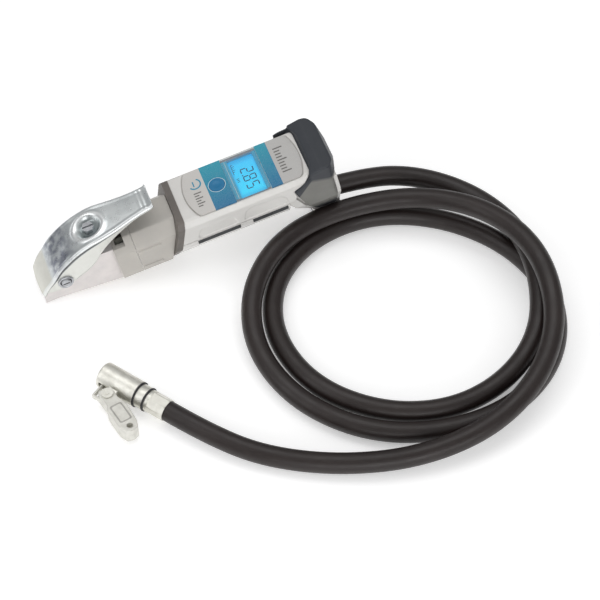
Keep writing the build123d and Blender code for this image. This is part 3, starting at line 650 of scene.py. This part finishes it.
def make_zinc_pressing():
    """Bright zinc: paler worn rims, darker mottled patches on the bend behind the nose, painted shade in the
    dish floor and the step under the rim, a painted highlight round the dish's crest, faint drawing lines
    along it.
    """
    paint = Paint("zinc_pressing")
    x = paint.along(XT)
    y = paint.along(Vector((0, 1, 0)), Vector((0, 0, 0)))
    zone = paint.add("ShaderNodeAttribute", attribute_name="zone").outputs["Fac"]
    patch = paint.spread(paint.noise(75.0, 5.0), 0.0, 1.0, 0.38, 0.66)
    body = paint.mix(patch, (0.74, 0.77, 0.77), (0.63, 0.665, 0.67))
    # darker bluish mottled patches over the bend behind the nose
    bend = paint.between(x, (9.0, 14.0), (24.0, 34.0))
    blotch = paint.spread(paint.noise(190.0, 6.0), 0.35, 1.0, 0.40, 0.60)
    body = paint.mix(paint.math("MULTIPLY", bend, blotch), body, (0.25, 0.265, 0.31))
    nose = paint.spread(x, 1.0, 0.0, 9.2, 10.8)
    body = paint.mix(paint.math("MULTIPLY", nose, 0.85), body, (0.70, 0.69, 0.63))
    # the dish: painted shade in its floor and a painted highlight round its crest
    across_x = paint.math("SUBTRACT", x, DISH_X)
    square = paint.math("ADD", paint.math("MULTIPLY", across_x, across_x), paint.math("MULTIPLY", y, y))
    reach = paint.math("SQRT", square, 0.0)
    # painted shade: the dish floor is darkened
    body = paint.mix(paint.spread(reach, 0.85, 0.0, 5.6, 8.0), body, (0.20, 0.235, 0.24))
    crest = paint.between(reach, (8.2, 9.6), (10.6, 12.6))
    # painted highlight: a bright ring along the dish's crest
    body = paint.mix(paint.math("MULTIPLY", crest, 0.7), body, (0.95, 0.96, 0.96))
    rim = paint.between(zone, (0.1, 0.25), (0.27, 0.45))
    body = paint.mix(paint.math("MULTIPLY", rim, 0.6), body, (0.80, 0.82, 0.82))
    # painted shade: the step tucked under the rolled edge is coloured near black
    step_shade = paint.between(zone, (0.3, 0.48), (0.62, 0.9))
    flange = paint.spread(zone, 0.0, 1.0, 0.7, 1.0)
    body = paint.mix(flange, body, (0.74, 0.745, 0.71))
    body = paint.mix(step_shade, body, (0.10, 0.105, 0.105))
    paint.color(body)
    base_rough = paint.spread(paint.noise(230.0, 6.0), 0.24, 0.38)
    dull = paint.math("ADD", paint.math("MULTIPLY", nose, 0.2), paint.math("MULTIPLY", flange, 0.22))
    paint.roughness(paint.math("ADD", base_rough, dull))
    lines = paint.noise(1.0, 4.0, stretch=(60.0, 1400.0, 60.0))
    dents = paint.noise(120.0, 4.0)
    paint.bump(paint.math("ADD", paint.math("MULTIPLY", lines, 0.2), dents), 0.16, 0.0005)
    paint.put(Metallic=0.9)
    return paint


zinc_pressing = make_zinc_pressing()
make_lever()


PIVOT_X, PIVOT_Z = 17.5, 15.0


def make_pivot_screws():
    """The pivot with a flanged, slotted head on each side; the slot and the well round the boss are dark
    sheets of painted shade.
    """
    half_profile = [
        (0.0, 2.45), (13.8, 2.45), (13.8, 5.3), (15.0, 5.3), (15.5, 4.9), (15.5, 4.35), (14.7, 3.9),
        (14.7, 3.15), (15.7, 3.05), (16.1, 2.6), (16.1, 0.05),
    ]
    slot = rounded_box(-2.3, 2.3, -0.45, 0.45, 0.2, 2)
    meshes = []
    for side in (-1, 1):
        def out(along_y, x, z):
            return tool(PIVOT_X + x, side * along_y, PIVOT_Z + z)

        meshes.append(turned(half_profile, out, 40))
        # painted shade: a thin black plate stands for the slot's shaded hollow
        dark = plate(slot, 16.0, 16.16, lambda u, v, height: out(height, u, v), 0.03, 1)
        finish_piece(f"pivot_slot_shade_{side + 1}", dark, seal, "handle", smooth=False)
        # painted shade: a black ring at the bottom of the well round the boss
        well = turned([(14.78, 3.1), (14.78, 3.95)], out, 40)
        finish_piece(f"pivot_well_shade_{side + 1}", well, seal, "handle", smooth=False)
    finish_piece("pivot_screws", joined(meshes), steel, "handle", ["lever_pivot_pin"])


make_pivot_screws()


# ---- rear cap, upper housing, leg: rounded copies of their CAD shapes ---------------------------------
VOXEL = 0.0005
for piece_name, node, passes, paint, slot_name in (
    ("end_cap_rubber", "rear_cap", 10, cap_rubber, "cap_rubber"),
    ("upper_moulding", "upper_shell", 3, silver, "silver_plastic"),
    ("leg_moulding", "leg_frame", 3, silver, "silver_plastic"),
):
    finish_piece(piece_name, smoothed(node, VOXEL, passes), paint, "handle", [node])

# ---- display -------------------------------------------------------------------------------------------
SCREEN_Z = 29.4           # face of the glass


def make_display():
    glass = plate(rounded_box(143.2, 162.0, -17.4, 17.4, 0.6), 28.2, SCREEN_Z, tool, 0.12, 2)
    finish_piece("lcd_glass", glass, screen, "handle", ["display_module"], smooth=False)
    rows = []
    for outline, height in (
        (rounded_box(139.75, 163.85, -18.6, 18.6, 1.0), 30.9),
        (rounded_box(139.75, 163.85, -18.6, 18.6, 1.0), 31.75),
        (rounded_box(141.6, 162.9, -18.0, 18.0, 0.9), 31.75),
        (rounded_box(143.6, 161.6, -17.0, 17.0, 0.6), 31.2),
        (rounded_box(143.8, 161.4, -16.8, 16.8, 0.6), SCREEN_Z - 0.1),
    ):
        rows.append([tool(u, v, height) for u, v in outline])
    frame_mesh = surface(rows, wrap=True)
    finish_piece("lcd_frame", frame_mesh, window_frame, "handle", ["display_bezel"],
                 smooth=False)

    marks = []

    def bar(x0, x1, y0, y1):
        outline = rounded_box(x0, x1, y0, y1, min(x1 - x0, y1 - y0) * 0.35, 2)
        marks.append(plate(outline, SCREEN_Z - 0.02, SCREEN_Z + 0.04, tool, 0.02, 1))

    # three seven-segment digits; they read from the far side to the near one
    digits = ("abged", "abcdefg", "acdfg")
    low_x, high_x, mid_x = 149.6, 158.6, 154.1
    for index, lit in enumerate(digits):
        left = 7.6 - 6.6 * index
        near = left - 4.6
        w = 0.75
        shapes = {
            "a": (high_x - w, high_x, near + 0.8, left - 0.8),
            "g": (mid_x - w / 2, mid_x + w / 2, near + 0.8, left - 0.8),
            "d": (low_x, low_x + w, near + 0.8, left - 0.8),
            "f": (mid_x + 0.5, high_x - 0.3, left - w, left),
            "b": (mid_x + 0.5, high_x - 0.3, near, near + w),
            "e": (low_x + 0.3, mid_x - 0.5, left - w, left),
            "c": (low_x + 0.3, mid_x - 0.5, near, near + w),
        }
        for key in lit:
            bar(*shapes[key])
    bar(149.6, 150.5, 1.55, 2.4)
    for index in range(5):
        bar(145.4, 146.5 + (index % 2) * 0.8, 13.2 - 1.5 * index, 13.6 - 1.5 * index)
    bar(145.0, 145.35, 5.0, 13.7)
    for index in range(3):
        bar(145.4, 147.2, 0.6 - 1.3 * index, 1.1 - 1.3 * index)
    finish_piece("lcd_segments", joined(marks), segment_ink, "handle", smooth=False)


def make_window_frame():
    """Moulded surround: grey at the far and near ends, pale blue slopes beside the glass."""
    paint = Paint("window_frame")
    y = paint.math("ABSOLUTE", paint.along(Vector((0, 1, 0)), Vector((0, 0, 0))), 0.0)
    ends = paint.spread(y, 0.0, 1.0, 16.6, 17.2)
    mottle = paint.spread(paint.noise(80.0, 4.0), 0.0, 1.0)
    grey = paint.mix(mottle, (0.27, 0.26, 0.285), (0.23, 0.22, 0.245))
    pale = paint.mix(mottle, (0.10, 0.44, 0.62), (0.07, 0.38, 0.58))
    paint.color(paint.mix(ends, pale, grey))
    paint.roughness(paint.spread(paint.noise(200.0, 5.0), 0.22, 0.34))
    paint.bump(paint.noise(3600.0, 2.0), 0.1, 0.00004)
    return paint


window_frame = make_window_frame()
make_display()


PRINT_Z = 33.03           # just above the label's face
KEY_CENTRE = 132.0


def make_prints():
    """Printed marks: the key's ring and two arrows, a dial mark and scale bars on the silver ends."""
    def ring(cx, cy, radius, width, start=0, end=360, steps=48):
        turns = [math.radians(start + (end - start) * i / steps) for i in range(steps + 1)]
        return surface([
            [tool(cx + r * math.cos(a), cy + r * math.sin(a), PRINT_Z) for a in turns]
            for r in (radius - width / 2, radius + width / 2)
        ])

    def bar(x0, x1, y0, y1):
        return surface([[tool(x, y, PRINT_Z) for y in (y0, y1)] for x in (x0, x1)])

    finish_piece("key_ring_print", ring(KEY_CENTRE, 0, 5.75, 0.42), pale_print, "handle")
    arrows = []
    for way in (-1, 1):
        base_x = KEY_CENTRE + way
        tip = tool(KEY_CENTRE + 3.4 * way, 0, 32.98)
        base = [tool(base_x, y, 32.9) for y in (-1.7, 1.7)]
        arrows.append(surface([[tip, tip], base]))
    finish_piece("key_arrows_print", joined(arrows), pale_print, "key")
    dial = [ring(118.6, 7.2, 4.0, 1.0, -150, 60, 30)]
    dial.append(bar(117.4, 118.2, 5.2, 9.6))
    finish_piece("dial_print", joined(dial), teal_print, "handle")
    scale = []
    for index in range(6):
        length = 5.2 if index % 2 == 0 else 3.2
        y = -0.6 - 2.2 * index
        scale.append(bar(115.6, 115.6 + length, y - 0.45, y + 0.45))
    for index in range(9):
        length = 6.4 if index % 4 == 0 else 4.0
        y = 10.4 - 2.6 * index
        scale.append(bar(174.6, 174.6 + length, y - 0.5, y + 0.5))
    finish_piece("scale_print", joined(scale), dark_print, "handle")


make_prints()


# ---- hose end at the leg ----------------------------------------------------------------------------------
def make_hose_sleeve():
    """Crimped sleeve round the hose where it enters the leg."""
    profile = [(92.0, 4.1), (92.0, 7.2), (92.4, 7.85)]
    for index in range(3):
        start = 94.2 + 3.2 * index
        profile += [(start, 7.9), (start + 0.4, 7.45), (start + 1.2, 7.4), (start + 1.6, 7.9)]
    profile += [(104.2, 7.9), (104.8, 7.6), (105.0, 7.1), (104.9, 6.8)]
    mesh = turned(profile, lambda a, b, c: Vector((a, b, 24.5 + c)) / 1000)
    return finish_piece("hose_sleeve", mesh, nickel, "handle", ["hose_ferrule"])


hose_sleeve = make_hose_sleeve()


# ---- chuck ---------------------------------------------------------------------------------------------
finish_piece("chuck_body", smoothed("chuck_barrel", 0.00032, 3), nickel, "handle", ["chuck_barrel"])
clip_mesh = smoothed("clip_lever", 0.0003, 4)
clip_body = finish_piece("clip_plate", clip_mesh, clip_nickel, "clip", ["clip_lever"])


def on_clip(u, v, height):
    """A point on the clip lever: u along it from its pivot, v to its left."""
    turn_angle = math.radians(-23.0)
    c, s = math.cos(turn_angle), math.sin(turn_angle)
    return chuck(14.2 + u * c - v * s, -13.9 + u * s + v * c, height)


def make_clip_panel():
    """Raised rounded frame pressed into the clip's flat face, plain inside; the frame is coloured darker as
    painted shade along its outline.
    """
    rings = [
        (9.6, 24.4, -4.3, 4.3, 1.5, 5.5), (9.9, 24.1, -4.0, 4.0, 1.4, 5.95),
        (10.4, 23.6, -3.5, 3.5, 1.2, 5.95), (10.7, 23.3, -3.2, 3.2, 1.0, 5.5),
    ]
    rows = []
    for u0, u1, v0, v1, radius, height in rings:
        rows.append([on_clip(u, v, height) for u, v in rounded_box(u0, u1, v0, v1, radius)])
    return finish_piece("clip_panel", surface(rows, wrap=True), clip_frame_shade, "clip")


clip_panel = make_clip_panel()

CORD_PIECES = [hose_sleeve, bpy.data.objects["chuck_body"], clip_body, clip_panel]
CORD_PIECES += [NODES[n] for n in (
    "chuck_seal", "depressor_pin", "chuck_collar", "chuck_rings", "chuck_ferrule", "clip_pin", "clip_spring",
)]

# ---- floor, light --------------------------------------------------------------------------------------
FLOOR_HALF, FLOOR_Z = 4, -0.0002
floor_mesh = bpy.data.meshes.new("floor")
floor_corners = [(u * FLOOR_HALF, v * FLOOR_HALF, FLOOR_Z) for u, v in ((-1, -1), (1, -1), (1, 1), (-1, 1))]
floor_mesh.from_pydata(floor_corners, [], [(0, 1, 2, 3)])
floor = bpy.data.objects.new("floor", floor_mesh)
bpy.context.collection.objects.link(floor)
floor_paint = Paint("floor")
floor_patches = floor_paint.spread(floor_paint.noise(3.0), 0.0, 1.0)
floor_paint.color(floor_paint.mix(floor_patches, (0.92, 0.92, 0.92), (0.90, 0.90, 0.90)))
floor_paint.roughness(0.9)
floor_paint.put(Emission_Color=(1.0, 1.0, 1.0, 1.0), Emission_Strength=0.34)
floor_mesh.materials.append(floor_paint.material)


def area_light(name, place, target, size, power, tint=(1, 1, 1)):
    data = bpy.data.lights.new(name, "AREA")
    data.shape = "RECTANGLE"
    data.size, data.size_y = size
    data.energy = power
    data.color = tint
    lamp = bpy.data.objects.new(name, data)
    bpy.context.collection.objects.link(lamp)
    lamp.location = place
    lamp.rotation_euler = (Vector(target) - Vector(place)).to_track_quat("-Z", "Y").to_euler()


area_light("overhead", (0.1, 0.35, 1.6), (0.0, -0.05, 0), (1.6, 0.9), 7)
area_light("left_bank", (-1.3, -0.2, 0.9), (0, -0.05, 0), (0.6, 1.4), 4)
area_light("front_fill", (-0.1, -1.5, 0.5), (0.05, -0.05, 0), (1.6, 0.6), 9)

world = bpy.data.worlds.new("world")
bpy.context.scene.world = world
world.use_nodes = True
sky = world.node_tree
background = next(n for n in sky.nodes if n.type == "BACKGROUND")
direction = sky.nodes.new("ShaderNodeTexCoord")
split = sky.nodes.new("ShaderNodeSeparateXYZ")
ramp = sky.nodes.new("ShaderNodeValToRGB")
sky.links.new(direction.outputs["Generated"], split.inputs[0])
sky.links.new(split.outputs["Z"], ramp.inputs[0])
ramp.color_ramp.elements[0].position = 0.0
ramp.color_ramp.elements[0].color = (0.42, 0.43, 0.45, 1)
ramp.color_ramp.elements[1].position = 0.75
ramp.color_ramp.elements[1].color = (1.0, 1.0, 1.0, 1)
sky.links.new(ramp.outputs[0], background.inputs[0])
background.inputs[1].default_value = 0.55
bpy.context.scene.view_settings.view_transform = "Standard"
bpy.context.scene.view_settings.look = "None"
